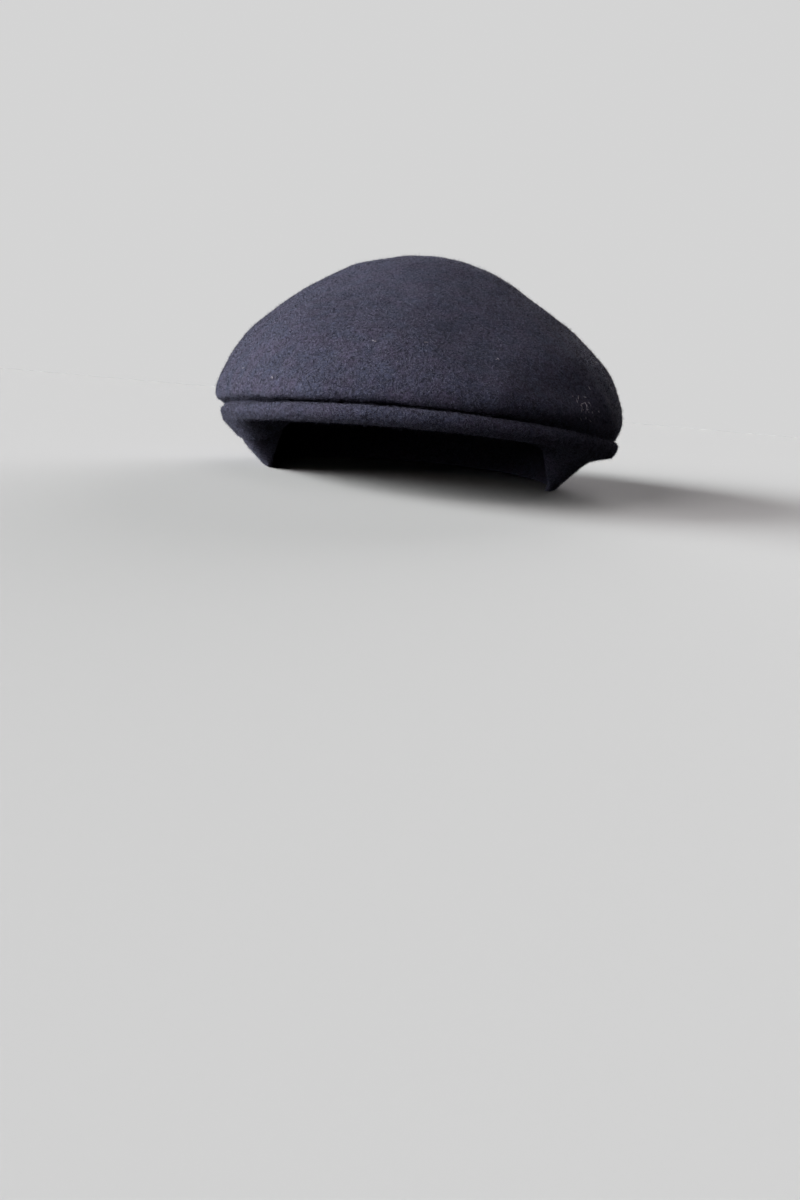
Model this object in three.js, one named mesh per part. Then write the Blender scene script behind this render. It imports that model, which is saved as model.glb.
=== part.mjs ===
// Flat cap of moulded wool felt: a soft seamless crown drawn forward over a short stiff peak.
// Millimetres, +Z up, the peak towards -Y. The rim stands on z = 0 at the sides and back, and the
// origin lies on that level at the middle of the cap's length and width.

import * as THREE from "three";

const { lerp, smoothstep, degToRad } = THREE.MathUtils;

// Driving dimensions
const capLength = 260;
const capWidth = 208;
const capHeight = 114;
const headLength = 198;
const headWidth = 160;
const napeOverhang = 17;
const feltThickness = 2.4;
const foldHeight = 37.2;
const peakThickness = 7.5;
const peakRootThickness = 5.5;
const lipReach = 9.5;
const lipReachAtSides = 1.2;
const hornThickness = 1.6;
const hornReach = 1;
const pieceGap = 0.35;
const foldGap = 0.9;
const templeSlack = 1;

// Angles round the head from the middle of the front
const rimLeavesFloor = degToRad(66);
const rimReachesPeak = degToRad(40);
const hornStart = degToRad(76);
const hornEnd = degToRad(105);

// Fineness of the felt surfaces
const aroundSteps = 72;
const stepsPerLevel = 3;
const peakWidthSteps = 5;
const lipEdgeSteps = 6;

// Places along the length that the levels of the crown are measured from
const nape = capLength / 2;
const tip = -capLength / 2;
const headBack = nape - napeOverhang;
const headFront = headBack - headLength;
const headMiddle = (headFront + headBack) / 2;
const foldFront = tip + lipReach;

// Levels of the crown from the rim up, each an egg-shaped ring: half its width, the y of its front,
// its widest place and its back, its height at those three places, how far it leans aside, and how
// far it tilts up on the +X side. At the front the first two levels lie on the peak, and frontRise
// is their height above the fold.
const crownLevels = [
  {
    name: "rim", halfWidth: headWidth / 2, front: headFront, widest: headMiddle, back: headBack,
    frontRise: 3, sideZ: 0, backZ: 0, lean: -1.9, tilt: 0,
  },
  {
    name: "wall", halfWidth: 90.7, front: foldFront + 14, widest: 8, back: nape - 11,
    frontRise: 1.5, sideZ: 13.5, backZ: 15, lean: -2.1, tilt: 0,
  },
  {
    name: "fold", halfWidth: 101.4, front: foldFront, widest: 2, back: nape - 5,
    frontZ: foldHeight, sideZ: 28, backZ: 31, lean: 0.5, tilt: -1,
  },
  {
    name: "bulge", halfWidth: capWidth / 2, front: tip + 4, widest: 0, back: nape,
    frontZ: foldHeight + 4.3, sideZ: 37.5, backZ: 50, lean: 0, tilt: 0,
  },
  {
    name: "shoulder", halfWidth: 93.2, front: tip + 21, widest: 4, back: nape - 7,
    frontZ: 60, sideZ: 62.5, backZ: 74, lean: -1, tilt: 0,
  },
  {
    name: "upper", halfWidth: 69, front: tip + 60, widest: 12, back: nape - 33,
    frontZ: 81, sideZ: 86, backZ: 95, lean: -1.7, tilt: 0,
  },
  {
    name: "crest", halfWidth: 37.5, front: tip + 112, widest: 18, back: nape - 72,
    frontZ: 105.5, sideZ: 105.5, backZ: 110, lean: -1.7, tilt: 0,
  },
];
const crownTop = new THREE.Vector3(-1.7, 18, capHeight);
const foldLevel = crownLevels.findIndex((level) => level.name === "fold");
const topLevel = crownLevels.length;

// Heights on the scale of those levels: the flat of the peak's bed, and the peak's root where it
// has left the rim at the temples, higher at the +X one, and where the horns run out
const bedLevel = foldLevel - 0.4;
const templeRoot = 1.1;
const rightTempleRise = 0.3;
const hornRoot = 1.7;
const straightDown = new THREE.Vector3(0, 0, -1);

// Angle from the middle of the front, the same to either side
function fromFront(azimuth) {
  return Math.acos(Math.cos(azimuth));
}

// 1 where the rim lies up on the peak, 0 where it stands on the floor
function rimLift(azimuth) {
  return 1 - smoothstep(fromFront(azimuth), rimReachesPeak, rimLeavesFloor);
}

function levelHeight(level, azimuth) {
  const ahead = Math.cos(azimuth);
  const rise = level.tilt * Math.sin(azimuth);
  if (ahead < 0) {
    return rise + lerp(level.sideZ, level.backZ, ahead * ahead);
  }
  if (level.frontRise === undefined) {
    return rise + lerp(level.sideZ, level.frontZ, ahead * ahead);
  }
  const bedHeight = levelHeight(crownLevels[foldLevel], azimuth) + level.frontRise;
  return rise + lerp(level.sideZ, bedHeight, rimLift(azimuth));
}

// A ring is two half ellipses that meet at its widest place
function levelPoint(level, azimuth) {
  const ahead = Math.cos(azimuth);
  const end = ahead > 0 ? level.front : level.back;
  return new THREE.Vector3(
    level.lean + level.halfWidth * Math.sin(azimuth),
    level.widest + (end - level.widest) * Math.abs(ahead),
    levelHeight(level, azimuth),
  );
}

// One smooth line from the rim over the top to the rim on the far side
function meridian(azimuth) {
  const near = crownLevels.map((level) => levelPoint(level, azimuth));
  const far = crownLevels.map((level) => levelPoint(level, azimuth + Math.PI));
  return new THREE.CatmullRomCurve3([...near, crownTop, ...far.reverse()]);
}

function crownPoint(azimuth, height) {
  return meridian(azimuth).getPoint(height / (2 * topLevel));
}

// Direction out of the felt, square to its surface
function crownNormal(azimuth, height) {
  const step = 0.01;
  const sideways = crownPoint(azimuth + step, height).sub(crownPoint(azimuth - step, height));
  const upwards = crownPoint(azimuth, height + step).sub(crownPoint(azimuth, Math.max(height - step, 0)));
  return sideways.cross(upwards).normalize();
}

// The felt's inner face; the rim is cut level where it stands on the floor
function crownInside(azimuth, height) {
  const normal = crownNormal(azimuth, height);
  const inwards = normal.clone().negate();
  if (height === 0) {
    inwards.z *= rimLift(azimuth);
    inwards.normalize();
  }
  const depth = feltThickness / -normal.dot(inwards);
  return crownPoint(azimuth, height).addScaledVector(inwards, depth);
}

// Closed skin over a row of loops that starts and ends in a single point
function skin(startPoint, loops, endPoint) {
  const count = loops[0].length;
  const points = [startPoint, ...loops.flat(), endPoint];
  const last = points.length - 1;
  const faces = [];
  for (let side = 0; side < count; side += 1) {
    const next = (side + 1) % count;
    faces.push(0, 1 + side, 1 + next);
    for (let row = 0; row < loops.length - 1; row += 1) {
      const here = 1 + row * count;
      const beyond = here + count;
      faces.push(here + side, beyond + side, beyond + next);
      faces.push(here + side, beyond + next, here + next);
    }
    faces.push(last, last - count + next, last - count + side);
  }
  const geometry = new THREE.BufferGeometry().setFromPoints(points);
  geometry.setIndex(faces);
  geometry.computeVertexNormals();
  return geometry;
}

function crownGeometry() {
  const azimuths = Array.from({ length: aroundSteps }, (_, k) => (2 * Math.PI * k) / aroundSteps);
  const heights = Array.from({ length: topLevel * stepsPerLevel }, (_, k) => k / stepsPerLevel);
  const outer = heights.map((height) => azimuths.map((azimuth) => crownPoint(azimuth, height)));
  const inner = heights.map((height) => azimuths.map((azimuth) => crownInside(azimuth, height)));
  const innerTop = crownTop.clone();
  innerTop.z -= feltThickness;
  return skin(crownTop, [...outer.reverse(), ...inner], innerTop);
}

// Section of the peak: straight out along its underside, round the lip in one smooth curve and back
// under the felt. Towards the horns it grows thin and narrow, and its root climbs the side wall,
// clear of the floor. At the temples, where the felt twists from the peak to the side wall, the root
// lies looser, and along the front the fold stands a little off the lip.
function peakSection(azimuth) {
  const lift = rimLift(azimuth);
  const fullness = 1 - smoothstep(fromFront(azimuth), hornStart, hornEnd);
  const lipThickness = lerp(hornThickness, peakThickness, fullness);
  const rootThickness = lerp(hornThickness, peakRootThickness, lift);
  const templeHeight = templeRoot + rightTempleRise * Math.max(Math.sin(azimuth), 0);
  const rootHeight = lerp(lerp(hornRoot, templeHeight, fullness), 0, lift);
  const rootSlack = templeSlack * 4 * lift * (1 - lift);
  const foldSlack = foldGap * Math.max(Math.cos(azimuth), 0) ** 2;
  const fullReach = lerp(lipReach, lipReachAtSides, Math.sin(azimuth) ** 2);
  const reach = lerp(hornReach, fullReach, fullness);
  const lipRound = Math.min(reach, lipThickness / 2);
  const top = [];
  for (let k = 0; k <= peakWidthSteps; k += 1) {
    const outFromRoot = k / peakWidthSteps;
    const height = lerp(rootHeight, foldLevel, outFromRoot);
    const gap = pieceGap + rootSlack * (1 - outFromRoot) + foldSlack * outFromRoot ** 2;
    const normal = crownNormal(azimuth, Math.min(height, bedLevel));
    top.push(crownPoint(azimuth, height).addScaledVector(normal, gap));
  }
  const outwards = new THREE.Vector3(Math.sin(azimuth), -Math.cos(azimuth), 0);
  const lipTop = top[peakWidthSteps].clone();
  const shown = lipTop.clone().sub(crownPoint(azimuth, foldLevel)).dot(outwards);
  lipTop.addScaledVector(outwards, reach - shown - lipRound);
  const lipLow = lipTop.clone().addScaledVector(straightDown, lipThickness);
  const rootLow = top[0].clone().addScaledVector(crownNormal(azimuth, rootHeight), rootThickness);
  const alongUnderside = lipLow.clone().sub(rootLow).normalize();
  const handle = (4 / 3) * lipRound;
  const lipCurve = new THREE.CubicBezierCurve3(
    lipLow,
    lipLow.clone().addScaledVector(alongUnderside, handle),
    lipTop.clone().addScaledVector(outwards, handle),
    lipTop,
  );
  return [rootLow, ...lipCurve.getPoints(lipEdgeSteps), ...top.reverse()];
}

function middleOf(points) {
  const sum = points.reduce((total, point) => total.add(point), new THREE.Vector3());
  return sum.divideScalar(points.length);
}

function peakGeometry() {
  const step = (2 * Math.PI) / aroundSteps;
  const reachSteps = Math.floor(hornEnd / step);
  const sections = [];
  for (let k = -reachSteps; k <= reachSteps; k += 1) {
    sections.push(peakSection(k * step));
  }
  return skin(middleOf(sections[0]), sections, middleOf(sections[sections.length - 1]));
}

function feltPiece(name, geometry, color) {
  const felt = new THREE.MeshStandardMaterial({ color, roughness: 0.95, metalness: 0 });
  const mesh = new THREE.Mesh(geometry, felt);
  mesh.name = name;
  return mesh;
}

const flatCap = new THREE.Group();
flatCap.add(feltPiece("crown", crownGeometry(), 0x3d3d4b));
flatCap.add(feltPiece("peak", peakGeometry(), 0x383845));

export default flatCap;
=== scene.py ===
import math

import bpy
import numpy as np
from mathutils import Matrix, Vector


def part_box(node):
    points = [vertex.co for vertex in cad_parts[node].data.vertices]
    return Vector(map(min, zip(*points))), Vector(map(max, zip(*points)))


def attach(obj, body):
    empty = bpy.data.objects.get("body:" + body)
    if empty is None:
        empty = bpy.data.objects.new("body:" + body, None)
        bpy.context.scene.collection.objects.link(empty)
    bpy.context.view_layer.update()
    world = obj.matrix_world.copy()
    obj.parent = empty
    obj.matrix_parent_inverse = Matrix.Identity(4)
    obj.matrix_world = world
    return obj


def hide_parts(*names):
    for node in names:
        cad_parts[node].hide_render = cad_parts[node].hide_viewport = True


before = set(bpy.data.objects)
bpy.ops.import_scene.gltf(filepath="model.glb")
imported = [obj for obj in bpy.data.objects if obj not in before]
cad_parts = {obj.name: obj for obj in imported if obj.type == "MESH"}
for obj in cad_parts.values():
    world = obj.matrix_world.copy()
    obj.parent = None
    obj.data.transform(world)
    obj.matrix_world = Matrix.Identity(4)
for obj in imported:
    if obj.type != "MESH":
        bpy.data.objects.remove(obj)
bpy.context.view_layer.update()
scene = bpy.context.scene
mm = 0.001  # lengths are millimetres where no note says metres
print("frame loaded:", ", ".join(sorted(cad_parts)))


# Camera

cameraSet = {
    "place": (-0.0047, -0.4401, 0.0379),  # metres
    "yaw": 0.45,  # degrees to the right
    "pitch": 13.83,  # degrees down
    "roll": 5.0,  # degrees, the picture's left side raised
    "lens": 24.0,
    "sensor": 36.0,  # the long side of the picture
    "nearest": 0.01,  # metres
}


# the view direction from yaw and pitch, then right and up turned about it by the roll
def makeCamera(values):
    yaw, pitch, roll = (math.radians(values[key]) for key in ("yaw", "pitch", "roll"))
    ahead = Vector((math.sin(yaw) * math.cos(pitch), math.cos(yaw) * math.cos(pitch), -math.sin(pitch)))
    level = Vector((math.cos(yaw), -math.sin(yaw), 0))
    upright = level.cross(ahead)
    right = level * math.cos(roll) + upright * math.sin(roll)
    up = upright * math.cos(roll) - level * math.sin(roll)
    data = bpy.data.cameras.new("camera")
    data.lens = values["lens"]
    data.sensor_width = values["sensor"]
    data.clip_start = values["nearest"]
    camera = bpy.data.objects.new("camera", data)
    scene.collection.objects.link(camera)
    turned = Matrix((right, up, -ahead)).transposed().to_4x4()
    camera.matrix_world = Matrix.Translation(values["place"]) @ turned
    scene.camera = camera


makeCamera(cameraSet)
print("camera set")


# Mesh making

# points, face corners and corners per face go into one mesh as whole arrays
def meshPiece(name, points, corners, sizes):
    mesh = bpy.data.meshes.new(name)
    mesh.vertices.add(len(points))
    mesh.vertices.foreach_set("co", np.asarray(points * mm, np.float32).ravel())
    mesh.loops.add(len(corners))
    mesh.loops.foreach_set("vertex_index", np.asarray(corners, np.int32))
    mesh.polygons.add(len(sizes))
    mesh.polygons.foreach_set("loop_start", np.asarray(np.cumsum(sizes) - sizes, np.int32))
    mesh.polygons.foreach_set("use_smooth", np.ones(len(sizes), bool))
    mesh.update(calc_edges=True)
    mesh.validate()
    piece = bpy.data.objects.new(name, mesh)
    scene.collection.objects.link(piece)
    return piece


# loops (rows, count, 3) are joined row to row by quads, with a fan of triangles at either end
def closedSkin(name, start, loops, end):
    rows, count = loops.shape[:2]
    points = np.vstack([start[None], loops.reshape(-1, 3), end[None]])
    ring = np.arange(count)
    following = np.roll(ring, -1)
    first = 1 + np.arange(rows - 1)[:, None] * count
    beyond = first + count
    quads = np.stack([first + ring, beyond + ring, beyond + following, first + following], -1)
    last = len(points) - 1
    startFan = np.stack([0 * ring, 1 + ring, 1 + following], -1)
    endFan = np.stack([0 * ring + last, last - count + following, last - count + ring], -1)
    corners = np.concatenate([startFan.ravel(), quads.ravel(), endFan.ravel()])
    sizes = np.repeat([3, 4, 3], [count, (rows - 1) * count, count])
    return meshPiece(name, points, corners, sizes)


# 0 up to low, 1 from high on, and three squares less two cubes of the share between
def smoothStep(low, high, value):
    t = np.clip((value - low) / (high - low), 0, 1)
    return t * t * (3 - 2 * t)


# a plus a share of the way to b
def mix(a, b, share):
    return a + (b - a) * share


# vectors over their own lengths
def unit(vectors):
    return vectors / np.linalg.norm(vectors, axis=-1, keepdims=True)


# 1 in the middle, falling off with the square of the distance both ways
def bell(around, upward):
    return np.exp(-(around**2) - upward**2)


waveSet = {"count": 28, "spread": (0.75, 1.3)}  # how many waves, and how close or wide they may run


# sum of plane waves in random directions: a soft unevenness of about unit height
def unevenness(points, wavelength, seed):
    rng = np.random.default_rng(seed)
    count = waveSet["count"]
    turns = rng.normal(size=(3, count))
    perLength = rng.uniform(*waveSet["spread"], count) * 2 * np.pi / wavelength
    turns *= perLength / np.linalg.norm(turns, axis=0)
    return np.sin(points @ turns + rng.uniform(0, 2 * np.pi, count)).sum(-1) * math.sqrt(2 / count)


# Crown

crownHigh = np.array(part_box("crown")[1]) / mm
peakLow = np.array(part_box("peak")[0]) / mm
tip, nape = peakLow[1], crownHigh[1]
capHalfWidth, capHeight = crownHigh[0], crownHigh[2]

crown = {
    "headLength": 198.0,
    "headWidth": 160.0,
    "napeOverhang": 17.0,
    "feltThickness": 2.4,
    "napDepth": 0.3,  # how far the felt lies below the outer form, where the nap stands on it
    "foldHeight": 37.2,
    "lipReach": 9.5,
    "rimLeavesFloor": 66.0,  # degrees from the middle of the front
    "rimReachesPeak": 40.0,
    "rimEdge": 0.06,  # of a level, where the faces turn into the rim's cut edge
    "cutShares": (0.16, 0.5, 0.84),  # loops across that edge, of the felt's thickness
    "topX": -1.7,
    "topY": 18.0,
    "reliefFade": (2.04, 2.45),  # heights on the scale of the levels, from no relief to all of it
    "unevenness": ((0.45, 62.0, 11), (0.12, 17.0, 12)),  # size, wavelength and seed
    "aroundSteps": 320,
    "stepsPerLevel": 14,
    "innerStepsPerLevel": 5,
}
foldFront = tip + crown["lipReach"]
headBack = nape - crown["napeOverhang"]
headFront = headBack - crown["headLength"]

# one place in every list per level of the crown: rim, wall, fold, bulge, shoulder, upper, crest
crownLevels = {
    "halfWidth": (crown["headWidth"] / 2, 90.7, 101.4, capHalfWidth, 93.2, 69.0, 37.5),
    "front": (headFront, foldFront + 14, foldFront, tip + 4, tip + 21, tip + 60, tip + 112),
    "widest": ((headFront + headBack) / 2, 8, 2, 0, 4, 12, 18),
    "back": (headBack, nape - 11, nape - 5, nape, nape - 7, nape - 33, nape - 72),
    "frontZ": (0, 0, crown["foldHeight"], crown["foldHeight"] + 4.3, 60, 81, 105.5),
    "sideZ": (0, 13.5, 28, 37.5, 62.5, 86, 105.5),
    "backZ": (0, 15, 31, 50, 74, 95, 110),
    "lean": (-1.9, -2.1, 0.5, 0, -1, -1.7, -1.7),
    "tilt": (0, 0, -1, 0, 0, 0, 0),  # up on the +X side
}
frontRise = (3.0, 1.5)  # of the rim and the wall above the fold, where they lie on the peak
foldLevel, topLevel = 2, 7
crownTop = np.array([crown["topX"], crown["topY"], capHeight])


# degrees from the middle of the front, the same to either side
def fromFront(azimuth):
    return np.degrees(np.arccos(np.cos(azimuth)))


# 1 where the rim lies up on the peak, 0 where it stands on the floor
def rimLift(azimuth):
    return 1 - smoothStep(crown["rimReachesPeak"], crown["rimLeavesFloor"], fromFront(azimuth))


# each level is two half ellipses joined at its widest place, its height going with the squared cosine
def levelRings(azimuth):
    row = {key: np.array(values, float)[:, None] for key, values in crownLevels.items()}
    ahead, aside = np.cos(azimuth), np.sin(azimuth)
    x = row["lean"] + row["halfWidth"] * aside
    y = row["widest"] + (np.where(ahead > 0, row["front"], row["back"]) - row["widest"]) * np.abs(ahead)
    z = mix(row["sideZ"], np.where(ahead > 0, row["frontZ"], row["backZ"]), ahead**2) + row["tilt"] * aside
    lift = rimLift(azimuth)
    for level, rise in enumerate(frontRise):
        flat = np.where(ahead > 0, row["sideZ"][level], z[level])
        z[level] = mix(flat, z[foldLevel] + rise, lift)
    return np.stack([x, y, z], -1)


# centripetal spline through the levels of one side, the top and the levels of the far side
def crownPoint(azimuth, height):
    azimuth, height = np.broadcast_arrays(azimuth, height)
    line = azimuth[0]
    top = np.broadcast_to(crownTop, (1, len(line), 3))
    knots = np.concatenate([levelRings(line), top, levelRings(line + np.pi)[::-1]])
    knots = np.concatenate([2 * knots[:1] - knots[1:2], knots, 2 * knots[-1:] - knots[-2:-1]])
    below = np.clip(np.floor(height).astype(int), 0, 2 * topLevel - 1)
    share = (height - below)[..., None]
    p0, p1, p2, p3 = (knots[below + step, np.arange(len(line))] for step in range(4))
    spans = ((p0, p1), (p1, p2), (p2, p3))
    d0, d1, d2 = (np.linalg.norm(b - a, axis=-1, keepdims=True) ** 0.5 for a, b in spans)
    leave = ((p1 - p0) / d0 - (p2 - p0) / (d0 + d1) + (p2 - p1) / d1) * d1
    arrive = ((p2 - p1) / d1 - (p3 - p1) / (d1 + d2) + (p3 - p2) / d2) * d1
    bend = -3 * p1 + 3 * p2 - 2 * leave - arrive
    return p1 + share * (leave + share * (bend + share * (2 * p1 - 2 * p2 + leave + arrive)))


# cross product of the surface's two slopes, each taken over a short step
def crownNormal(azimuth, height, step=0.01):
    sideways = crownPoint(azimuth + step, height) - crownPoint(azimuth - step, height)
    upwards = crownPoint(azimuth, height + step) - crownPoint(azimuth, np.maximum(height - step, 0))
    return unit(np.cross(sideways, upwards))


# soft dents and rolls of the felt: place, spread and how far they push out
# azimuths are degrees from the front towards +X, heights are on the scale of the levels
crease = {"azimuth": -58, "around": 24, "upward": 0.12, "depth": 0.8}
softForms = {
    "front fold roll": {"azimuth": -26, "height": 2.62, "around": 42, "upward": 0.32, "push": 2.2},
    "left fold hang": {"azimuth": -60, "height": 2.35, "around": 16, "upward": 0.32, "push": 0.9},
    "left front fullness": {"azimuth": -25, "height": 2.95, "around": 11, "upward": 0.45, "push": 1.6},
    "right front fullness": {"azimuth": 18, "height": 2.98, "around": 10, "upward": 0.6, "push": 3.6},
    "right fold fullness": {"azimuth": 31, "height": 2.9, "around": 9, "upward": 0.38, "push": 2.4},
    "right front flat": {"azimuth": 37, "height": 3.45, "around": 14, "upward": 0.4, "push": -2.0},
    "left fold ridge": {"azimuth": -37, "height": 2.6, "around": 2.4, "upward": 0.28, "push": 0.8},
    "front hollow": {"azimuth": 14, "height": 4.4, "around": 20, "upward": 0.65, "push": -2.8},
    "left flank flat": {"azimuth": -70, "height": 3.5, "around": 14, "upward": 0.35, "push": -0.7},
    "left slope flat": {"azimuth": -70, "height": 4.7, "around": 26, "upward": 0.55, "push": -0.5},
    "left crest fullness": {"azimuth": -64, "height": 5.95, "around": 30, "upward": 0.35, "push": 0.9},
    "right slope flat": {"azimuth": 77, "height": 5.4, "around": 26, "upward": 0.35, "push": -1.4},
    "right flank fullness": {"azimuth": 72, "height": 3.8, "around": 24, "upward": 0.42, "push": 1.3},
    "nape hollow": {"azimuth": 168, "height": 2.2, "around": 24, "upward": 0.6, "push": -1.2},
}


# degrees from a form's middle the short way round, over how far it spreads
def aroundShare(azimuth, form):
    return ((np.degrees(azimuth) - form["azimuth"] + 180) % 360 - 180) / form["around"]


# bell-shaped pushes plus two sizes of unevenness, fading out towards the rim,
# less a bell-shaped crease right on the fold
def crownRelief(azimuth, height, points):
    push = np.full(points.shape[:-1], -crown["napDepth"])
    for form in softForms.values():
        push += form["push"] * bell(aroundShare(azimuth, form), (height - form["height"]) / form["upward"])
    for size, wavelength, seed in crown["unevenness"]:
        push += size * unevenness(points, wavelength, seed)
    creased = bell(aroundShare(azimuth, crease), (height - foldLevel) / crease["upward"])
    return push * smoothStep(*crown["reliefFade"], height) - crease["depth"] * creased


# outer face from the top to the rim, a rounded cut edge, and the inner face back up
def makeCrown():
    azimuth = np.linspace(0, 2 * np.pi, crown["aroundSteps"], endpoint=False)[None]

    # even steps up the levels, the lowest just above the rim
    def faceHeights(steps):
        heights = np.arange(1, topLevel * steps) / steps
        return np.concatenate([[crown["rimEdge"]], heights])[:, None]

    # the levels' surface pushed along its normal by the relief
    def outerFace(height):
        points = crownPoint(azimuth, height)
        return points + crownNormal(azimuth, height) * crownRelief(azimuth, height, points)[..., None]

    outer = outerFace(faceHeights(crown["stepsPerLevel"]))
    innerHeights = faceHeights(crown["innerStepsPerLevel"])
    inner = outerFace(innerHeights) - crownNormal(azimuth, innerHeights) * crown["feltThickness"]
    rim = crownPoint(azimuth, np.zeros((1, 1)))
    normal = crownNormal(azimuth, np.zeros((1, 1)))
    inwards = -normal
    inwards[..., 2] *= rimLift(azimuth)  # level where the rim stands on the floor
    inwards = unit(inwards)
    inwards *= crown["feltThickness"] / -(normal * inwards).sum(-1, keepdims=True)
    cut = np.concatenate([rim + inwards * share for share in crown["cutShares"]])
    loops = np.concatenate([outer[::-1], cut, inner])
    innerTop = crownTop - np.array([0, 0, crown["feltThickness"]])
    face = np.concatenate([loops[: len(outer) + 1], loops[: len(outer) + 1, :1]], 1)
    return closedSkin("crown_felt", crownTop, loops, innerTop), face


crownPiece, crownFace = makeCrown()
print("crown:", len(crownPiece.data.polygons), "faces")


# Peak

peak = {
    "thickness": 7.5,
    "rootThickness": 5.5,
    "leftDrop": 1.4,  # how much thinner the lip grows at its left end
    "leftDropAbove": 0.8,  # how much of that its upper edge comes down
    "leftThinning": (40.0, 68.0),  # degrees from the middle of the front
    "lipDrawAbove": 0.25,  # how far the lip narrows to a rounded nose, of half its thickness
    "lipDrawBelow": 0.65,
    "lipSwell": (0.16, 23.0, 21),  # unevenness of the lip: size, wavelength and seed
    "lipReachAtSides": 1.2,
    "hornStart": 76.0,  # degrees from the middle of the front
    "hornEnd": 105.0,
    "hornThickness": 1.6,
    "featherStart": 95.0,  # where the horns begin to thin out into the felt
    "featherShare": 0.85,
    "feather": 0.5,  # thickness of the root where it lies on the side wall
    "hornReach": 1.0,
    "hornRoot": 1.7,  # heights on the scale of the crown's levels
    "templeRoot": 1.1,
    "rightTempleRise": 0.3,
    "bedLevel": 1.6,
    "coverMargin": 0.1,  # how far past the peak's edges the crown's nap stops
    "gap": 0.35,
    "foldGap": 0.9,  # extra gap under the front of the fold
    "templeSlack": 1.0,
    "aroundSteps": 300,
    "widthSteps": 14,
    "edgeSteps": 14,
}


# 1 along the front, falling smoothly to 0 at the ends of the horns
def peakFullness(azimuth):
    return 1 - smoothStep(peak["hornStart"], peak["hornEnd"], fromFront(azimuth))


# height of the peak's root on the scale of the levels: the rim at the front, then up the side wall
def peakRoot(azimuth):
    templeHeight = peak["templeRoot"] + peak["rightTempleRise"] * np.maximum(np.sin(azimuth), 0)
    return mix(mix(peak["hornRoot"], templeHeight, peakFullness(azimuth)), 0, rimLift(azimuth))


# cubic curve round the lip from its lower to its upper edge, drawn to a nose and swelling a little
def lipCurve(lipLow, lipTop, along, outwards, lipRound, lipThickness, fullness):
    handle = lipRound[..., None] * 4 / 3  # makes the cubic a half round
    halfUp = np.array([0, 0, 0.5]) * lipThickness[..., None]
    lowPull = along * handle + halfUp * peak["lipDrawBelow"]
    topPull = outwards * handle - halfUp * peak["lipDrawAbove"]
    t = np.linspace(0, 1, peak["edgeSteps"])[1:, None, None]
    curve = lipLow * (1 - t) ** 3 + 3 * (lipLow + lowPull) * t * (1 - t) ** 2
    curve = curve + 3 * (lipTop + topPull) * t**2 * (1 - t) + lipTop * t**3
    size, wavelength, seed = peak["lipSwell"]
    middle = 4 * t[..., 0] * (1 - t[..., 0])
    swell = size * unevenness(curve, wavelength, seed) * middle * fullness
    return curve + outwards * swell[..., None]


# section straight out along the underside, round the lip and back under the felt, all azimuths at once
def makePeak():
    azimuth = np.radians(np.linspace(-peak["hornEnd"], peak["hornEnd"], peak["aroundSteps"]))[None]
    degrees = np.degrees(azimuth)
    out = np.linspace(0, 1, peak["widthSteps"])[:, None]
    lift = rimLift(azimuth)
    fullness = peakFullness(azimuth)
    kept = 1 - peak["featherShare"] * smoothStep(peak["featherStart"], peak["hornEnd"], np.abs(degrees))
    leftDrop = peak["leftDrop"] * smoothStep(*peak["leftThinning"], -degrees) * fullness
    lipThickness = mix(peak["hornThickness"] * kept, peak["thickness"], fullness) - leftDrop
    rootThickness = mix(peak["feather"] * kept, peak["rootThickness"], lift)
    fullReach = mix(crown["lipReach"], peak["lipReachAtSides"], np.sin(azimuth) ** 2)
    reach = mix(peak["hornReach"] * kept, fullReach, fullness)
    lipRound = np.minimum(reach, lipThickness / 2)
    height = mix(peakRoot(azimuth), foldLevel, out)
    gap = peak["gap"] * kept + peak["templeSlack"] * 4 * lift * (1 - lift) * (1 - out)
    gap = gap + peak["foldGap"] * np.clip(np.cos(azimuth), 0, 1) ** 2 * out**2
    normal = crownNormal(azimuth, np.minimum(height, peak["bedLevel"]))
    top = crownPoint(azimuth, height) + normal * gap[..., None]
    outwards = np.stack([np.sin(azimuth), -np.cos(azimuth), 0 * azimuth], -1)
    upwards = np.array([0, 0, 1])
    shown = ((top[-1:] - crownPoint(azimuth, np.full((1, 1), float(foldLevel)))) * outwards).sum(-1)
    lipTop = top[-1:] + outwards * (reach - shown - lipRound)[..., None]
    lipTop = lipTop - upwards * peak["leftDropAbove"] * leftDrop[..., None]
    lipLow = lipTop - upwards * lipThickness[..., None]
    rootLow = top[:1] + normal[:1] * rootThickness[..., None]
    underside = mix(rootLow, lipLow, out[..., None])
    curve = lipCurve(lipLow, lipTop, unit(lipLow - rootLow), outwards, lipRound, lipThickness, fullness)
    sections = np.concatenate([underside, curve, top[::-1]]).transpose(1, 0, 2)
    piece = closedSkin("peak_felt", sections[0].mean(0), sections, sections[-1].mean(0))
    return piece, sections[:, : peak["widthSteps"] + peak["edgeSteps"] - 1]


# 1 where the crown's felt shows, 0 where the peak covers it
def uncovered():
    azimuth = np.linspace(0, 2 * np.pi, crown["aroundSteps"], endpoint=False)
    height = np.linspace(topLevel, 0, len(crownFace) - 1)[:, None]
    above = height > foldLevel + peak["coverMargin"]
    below = height < peakRoot(azimuth) - peak["coverMargin"]
    return np.where(above | below | (fromFront(azimuth) > peak["hornEnd"]), 1.0, 0.0)


crownShown = uncovered()
peakPiece, peakFace = makePeak()
print("peak:", len(peakPiece.data.polygons), "faces")


# Felt

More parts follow.
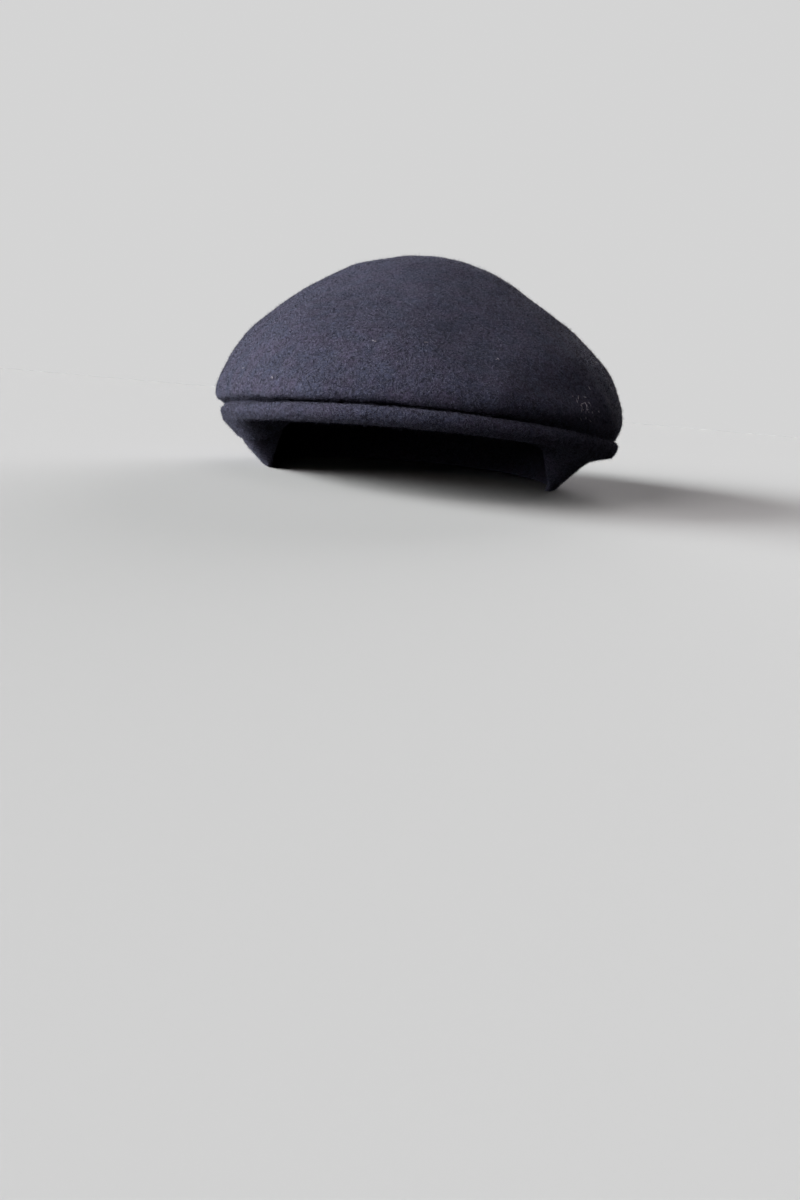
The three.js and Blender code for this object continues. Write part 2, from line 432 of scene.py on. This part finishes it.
felt = {
    "deep": (0.013, 0.0125, 0.020),
    "navy": (0.040, 0.043, 0.073),
    "plum": (0.051, 0.043, 0.073),
    "slate": (0.120, 0.121, 0.165),
    "peakPaintedShade": 0.95,  # painted shade: the peak's copy of the felt is made darker than the crown's
    "sheen": 0.04,
    "sheenRoughness": 0.5,
    "sheenTint": (0.72, 0.74, 0.95),
    "specular": 0.12,
    # of each noise: scale per metre, detail, roughness and distortion
    "grain": (1150.0, 3.0, 0.65, 0.6),
    "clump": (620.0, 3.0, 0.6, 1.2),
    "patch": (110.0, 2.0, 0.5, 0.0),
    # the stretch of each noise that counts, and the stretch of shares that it becomes
    "patchShares": (0.38, 0.62, 0.0, 1.0),
    "clumpShares": (0.36, 0.60, 0.1, 1.0),
    "grainShares": (0.50, 0.76, 0.0, 0.75),
    "roughnessShares": (0.3, 0.7, 0.82, 1.0),
    # of each bump: strength, and depth in metres
    "clumpBump": (0.8, 0.0007),
    "grainBump": (0.7, 0.0004),
}


# noise mixed into tones: fibre grain over clumps over broad patches
# the same noises drive roughness and bump
def feltMaterial(name, values, paintedShade):
    material = bpy.data.materials.new(name)
    material.use_nodes = True
    nodes, links = material.node_tree.nodes, material.node_tree.links
    shader = nodes["Principled BSDF"]
    place = nodes.new("ShaderNodeTexCoord").outputs["Object"]

    # a noise on the piece's own coordinates
    def noise(settings):
        node = nodes.new("ShaderNodeTexNoise")
        for socket, number in zip(("Scale", "Detail", "Roughness", "Distortion"), settings):
            node.inputs[socket].default_value = number
        links.new(place, node.inputs["Vector"])
        return node.outputs["Fac"]

    # a stretch of a value made another stretch, in a straight line
    def spread(value, shares):
        node = nodes.new("ShaderNodeMapRange")
        for socket, number in zip(("From Min", "From Max", "To Min", "To Max"), shares):
            node.inputs[socket].default_value = number
        links.new(value, node.inputs["Value"])
        return node.outputs["Result"]

    # the first tone plus a share of the way to the second
    def blendTones(share, first, second):
        node = nodes.new("ShaderNodeMix")
        node.data_type = "RGBA"
        links.new(share, node.inputs["Factor"])
        for socket, tone in ((node.inputs["A"], first), (node.inputs["B"], second)):
            if isinstance(tone, tuple):
                # tones are scaled by the shade factor: painted shade that darkens the peak's copy of the
                # felt
                socket.default_value = (*(channel * paintedShade for channel in tone), 1)
            else:
                links.new(tone, socket)
        return node.outputs["Result"]

    grain, clump, patch = (noise(values[key]) for key in ("grain", "clump", "patch"))
    colour = blendTones(spread(patch, values["patchShares"]), values["navy"], values["plum"])
    colour = blendTones(spread(clump, values["clumpShares"]), values["deep"], colour)
    colour = blendTones(spread(grain, values["grainShares"]), colour, values["slate"])
    links.new(colour, shader.inputs["Base Color"])
    links.new(spread(grain, values["roughnessShares"]), shader.inputs["Roughness"])
    shader.inputs["Sheen Weight"].default_value = values["sheen"]
    shader.inputs["Sheen Roughness"].default_value = values["sheenRoughness"]
    shader.inputs["Sheen Tint"].default_value = (*values["sheenTint"], 1)
    shader.inputs["Specular IOR Level"].default_value = values["specular"]
    previous = None
    for value, (strength, depth) in ((clump, values["clumpBump"]), (grain, values["grainBump"])):
        bump = nodes.new("ShaderNodeBump")
        bump.inputs["Strength"].default_value = strength
        bump.inputs["Distance"].default_value = depth
        links.new(value, bump.inputs["Height"])
        if previous:
            links.new(previous, bump.inputs["Normal"])
        previous = bump.outputs["Normal"]
    links.new(previous, shader.inputs["Normal"])
    return material


# one tone all over, fully rough
def roughMaterial(name, tone, specular):
    material = bpy.data.materials.new(name)
    material.use_nodes = True
    shader = material.node_tree.nodes["Principled BSDF"]
    shader.inputs["Base Color"].default_value = (*tone, 1)
    shader.inputs["Roughness"].default_value = 1.0
    shader.inputs["Specular IOR Level"].default_value = specular
    return material


# Nap

nap = {
    "counts": {"crown": 48000, "peak": 14000},
    "rootDepth": 0.1,  # how far a fibre starts below the felt
    "floorGap": 0.3,  # no fibre comes nearer to the floor
    "specular": 0.1,
    "seed": 31,
}
napKinds = {
    "light": {"tone": (0.125, 0.126, 0.175), "short": 0.6, "long": 1.7, "radius": 0.085, "rise": 0.4},
    "dark": {"tone": (0.014, 0.013, 0.020), "short": 0.6, "long": 1.7, "radius": 0.095, "rise": 0.4},
    "fuzz": {"tone": (0.095, 0.094, 0.128), "short": 0.5, "long": 2.3, "radius": 0.04, "rise": 1.1},
}


# random places on a grid of points, even by the area that shows,
# each with the cross product of its cell's diagonals
def scatter(grid, shown, count, rng):
    a, b, c, d = grid[:-1, :-1], grid[1:, :-1], grid[:-1, 1:], grid[1:, 1:]
    facing = np.cross(d - a, c - b)
    area = (np.linalg.norm(facing, axis=-1) * shown).ravel()
    cell = rng.choice(area.size, count, p=area / area.sum())
    u, v = rng.random((2, count, 1))
    a, b, c, d = (corner.reshape(-1, 3)[cell] for corner in (a, b, c, d))
    return mix(mix(a, b, u), mix(c, d, u), v), unit(facing.reshape(-1, 3)[cell])


# slender closed spikes, each a triangle at the root and a tip
def spikes(name, root, along, length, radius):
    first = unit(np.cross(along, np.roll(along, 1, axis=-1)))
    second = np.cross(along, first)
    turn = np.radians([0, 120, 240])[None, :, None]
    ring = first[:, None] * np.cos(turn) + second[:, None] * np.sin(turn)
    ring = (root - along * nap["rootDepth"])[:, None] + ring * radius
    points = np.concatenate([ring, (root + along * length)[:, None]], 1).reshape(-1, 3)
    spike = np.array([[0, 2, 1], [0, 1, 3], [1, 2, 3], [2, 0, 3]])
    faces = (4 * np.arange(len(root)))[:, None, None] + spike
    return meshPiece(name, points, faces.ravel(), np.full(4 * len(root), 3))


# fibres that lean off the surface to random sides, without those that would reach the floor
def makeNap(name, grid, shown, count, kind, seed):
    rng = np.random.default_rng(seed)
    root, normal = scatter(grid, shown, count, rng)
    stray = rng.normal(size=root.shape)
    aside = stray - normal * (stray * normal).sum(-1, keepdims=True)
    along = unit(normal * kind["rise"] + aside)
    length = mix(kind["short"], kind["long"], rng.random((count, 1)) ** 2)
    clear = np.minimum(root[:, 2], (root + along * length)[:, 2]) > nap["floorGap"]
    return spikes(name, root[clear], along[clear], length[clear], kind["radius"])


napFaces = (("crown", crownFace, crownShown), ("peak", peakFace, 1.0))
napSeed = nap["seed"]
for kindName, kind in napKinds.items():
    for part, grid, shown in napFaces:
        name = f"{part}_nap_{kindName}"
        napPiece = makeNap(name, grid, shown, nap["counts"][part], kind, napSeed)
        napPiece.data.materials.append(roughMaterial(name, kind["tone"], nap["specular"]))
        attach(napPiece, "root")
        napSeed += 1
    print("nap:", kindName)


# Lint

lint = {
    "tone": (0.60, 0.55, 0.60),
    "specular": 0.1,
    "radius": 0.11,
    "short": 0.5,
    "above": 0.15,  # how far it lies off the felt
    "lift": 0.2,  # how much its tips stand up
    "seed": 51,
}
lintTufts = (
    {"azimuth": -12.5, "height": 4.04, "count": 3, "spread": 0.3, "long": 1.3},
    {"azimuth": -36.5, "height": 3.19, "count": 3, "spread": 0.3, "long": 1.3},
    {"azimuth": -51.5, "height": 3.41, "count": 2, "spread": 0.24, "long": 1.3},
    {"azimuth": -6.0, "height": 3.64, "count": 2, "spread": 0.24, "long": 1.3},
    {"azimuth": 0.5, "height": 4.13, "count": 2, "spread": 0.24, "long": 1.3},
    {"azimuth": 19.0, "height": 3.96, "count": 3, "spread": 0.36, "long": 1.3},
    {"azimuth": 40.8, "height": 3.1, "count": 28, "spread": 3.6, "long": 3.6},
)


# pale stray fibres lying on the crown: each tuft a normal scatter about its place, square to the felt
def makeLint():
    rng = np.random.default_rng(lint["seed"])
    row = {key: np.array([tuft[key] for tuft in lintTufts]) for key in lintTufts[0]}
    azimuth, height = np.radians(row["azimuth"])[None], row["height"][None]
    spread, longest = (np.repeat(row[key], row["count"])[:, None] for key in ("spread", "long"))
    points = crownPoint(azimuth, height)
    normal = crownNormal(azimuth, height)
    points = points + normal * (crownRelief(azimuth, height, points)[..., None] + lint["above"])
    place, normal = (np.repeat(rows[0], row["count"], axis=0) for rows in (points, normal))
    stray = rng.normal(size=(2, *place.shape))
    across, along = stray - normal * (stray * normal).sum(-1, keepdims=True)
    length = rng.uniform(lint["short"], longest)
    along = unit(along + normal * lint["lift"])
    return spikes("crown_lint", place + across * spread, along, length, lint["radius"])


lintPiece = makeLint()
lintPiece.data.materials.append(roughMaterial("pale_lint", lint["tone"], lint["specular"]))
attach(lintPiece, "root")
print("lint:", len(lintPiece.data.polygons), "faces")


# Finish

# the peak gets the same felt made darker by the shade factor: painted shade
for piece, node, slot, paintedShade in (
    (crownPiece, "crown", "crown_felt", 1.0),
    (peakPiece, "peak", "peak_felt", felt["peakPaintedShade"]),
):
    piece.data.materials.append(feltMaterial(slot, felt, paintedShade))
    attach(piece, "root")
    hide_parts(node)
print("felt finished")


# Floor and light

studio = {
    "halfSize": 60.0,  # metres
    "floorTone": (0.575, 0.571, 0.556),
    "worldTone": (0.66, 0.66, 0.66),  # what the lit floor shows, so that no horizon is seen
}
# degrees round from the front towards +X, degrees up, and how wide each lamp looks from the cap
lamps = {
    "key": {"azimuth": -93, "elevation": 13, "angle": 45, "strength": 7.1, "tone": (0.96, 1.01, 1.03)},
    "front": {"azimuth": -57, "elevation": 20, "angle": 45, "strength": 3.0, "tone": (1.01, 0.98, 1.01)},
    "fill": {"azimuth": 30, "elevation": 60, "angle": 45, "strength": 0.2, "tone": (1.02, 0.98, 1.0)},
    "low": {"azimuth": -6, "elevation": 4, "angle": 25, "strength": 0.12, "tone": (1.02, 0.98, 1.0)},
    "back": {"azimuth": 165, "elevation": 10, "angle": 35, "strength": 3.8, "tone": (1.01, 0.98, 1.02)},
    "top": {"azimuth": 180, "elevation": 70, "angle": 40, "strength": 0.08, "tone": (1.01, 0.98, 1.02)},
}


# one wide level face
def makeFloor(values):
    corner = np.array([[-1, -1, 0], [1, -1, 0], [1, 1, 0], [-1, 1, 0]])
    floor = meshPiece("floor", corner * values["halfSize"] / mm, np.arange(4), np.array([4]))
    floor.data.materials.append(roughMaterial("floor_paper", values["floorTone"], 0.0))
    floor.visible_diffuse = False  # throws no light back up under the cap


# a broad distant lamp, shining down its own -Z axis
def makeLamp(name, values):
    data = bpy.data.lights.new(name, "SUN")
    data.energy = values["strength"]
    data.color = values["tone"]
    data.angle = math.radians(values["angle"])
    lamp = bpy.data.objects.new(name, data)
    scene.collection.objects.link(lamp)
    azimuth, elevation = math.radians(values["azimuth"]), math.radians(values["elevation"])
    level = math.cos(elevation)
    towards = Vector((math.sin(azimuth) * level, -math.cos(azimuth) * level, math.sin(elevation)))
    lamp.rotation_euler = towards.to_track_quat("Z", "Y").to_euler()


# an even pale surround that throws no light on the cap
def makeSurround(values):
    world = bpy.data.worlds.new("studio")
    world.use_nodes = True
    world.node_tree.nodes["Background"].inputs["Color"].default_value = (*values["worldTone"], 1)
    world.cycles_visibility.diffuse = False
    world.cycles_visibility.glossy = False
    scene.world = world


makeFloor(studio)
for lampName, lampValues in lamps.items():
    makeLamp(lampName, lampValues)
makeSurround(studio)
scene.view_settings.view_transform = "Standard"
print("floor and lights set")
